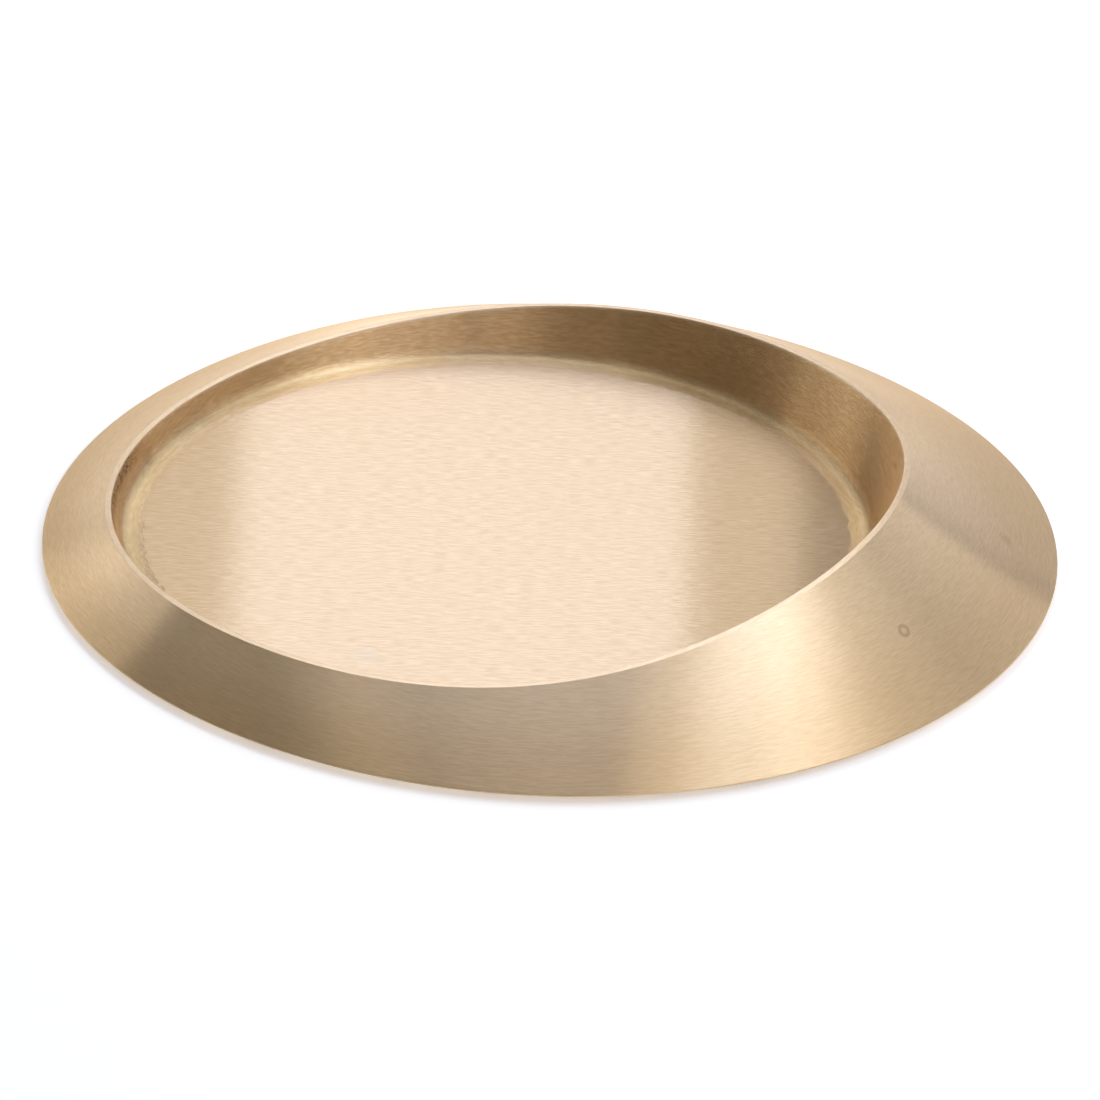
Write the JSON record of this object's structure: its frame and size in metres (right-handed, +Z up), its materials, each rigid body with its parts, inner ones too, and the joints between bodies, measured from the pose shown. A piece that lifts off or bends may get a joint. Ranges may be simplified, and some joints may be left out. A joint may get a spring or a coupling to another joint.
{
  "type": "offering plate",
  "caption": "Low round dish with a flat-floored basin set off centre in a sloping skirt, for holding offerings.",
  "frame": {"origin": "on the resting surface, under the centre of the skirt's round foot edge", "axes": "+Z up out of the basin; +X from the basin's low side to its high side"},
  "size_m": [0.25, 0.25, 0.0303],
  "materials": {
    "basin_brass": "straight-grained satin brush on the floor, turned and scratched in the fillet, oxidised a little on the wall",
    "skirt_brass": "straight-grained satin brush",
    "plate_brass": "dull, left as rolled",
    "braze": "dull silver-gold braze, as it flowed",
    "felt": "dense dark pressed felt"
  },
  "bodies": {
    "root": {"basin": "basin_brass", "outer_skirt": "skirt_brass", "base_plate": "plate_brass", "rim_braze": "braze", "foot_braze": "braze", "felt_pad": "felt"}
  },
  "joints": []
}
